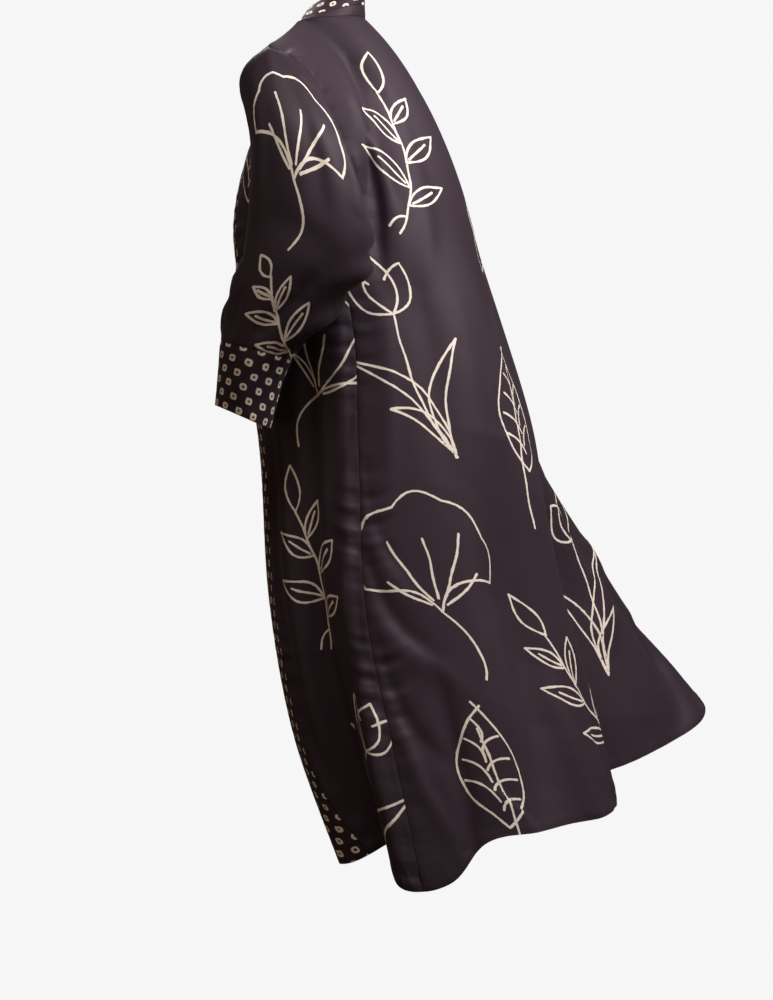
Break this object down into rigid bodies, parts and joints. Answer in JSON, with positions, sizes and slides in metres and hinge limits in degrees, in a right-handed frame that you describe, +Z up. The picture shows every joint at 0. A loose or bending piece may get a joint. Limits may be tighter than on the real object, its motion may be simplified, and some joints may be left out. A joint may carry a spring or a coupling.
{
  "type": "kimono coat",
  "caption": "Open kimono coat of thin satin in its worn form: drop shoulders, wide sleeves into narrow dotted cuffs, a dotted band round the front and neck, and a long skirt swung back",
  "frame": {"origin": "between the shoulders at the height of the neck side, where a wearer or a form holds the coat up", "axes": "+Z up, the front faces -Y, the wearer's left is +X"},
  "size_m": [0.6971, 0.6895, 1.4018],
  "materials": {
    "print_satin": "dark aubergine satin with cream line drawings",
    "dotted_satin": "dark aubergine satin with rows of cream ring dots"
  },
  "bodies": {
    "root": {"back": "print_satin", "front_left": "print_satin", "front_right": "print_satin", "sleeve_left": "print_satin", "sleeve_right": "print_satin", "neck_stand": "print_satin", "cuff_left": "dotted_satin", "cuff_right": "dotted_satin", "front_band_left": "dotted_satin", "front_band_right": "dotted_satin", "collar_band": "dotted_satin"}
  },
  "joints": []
}
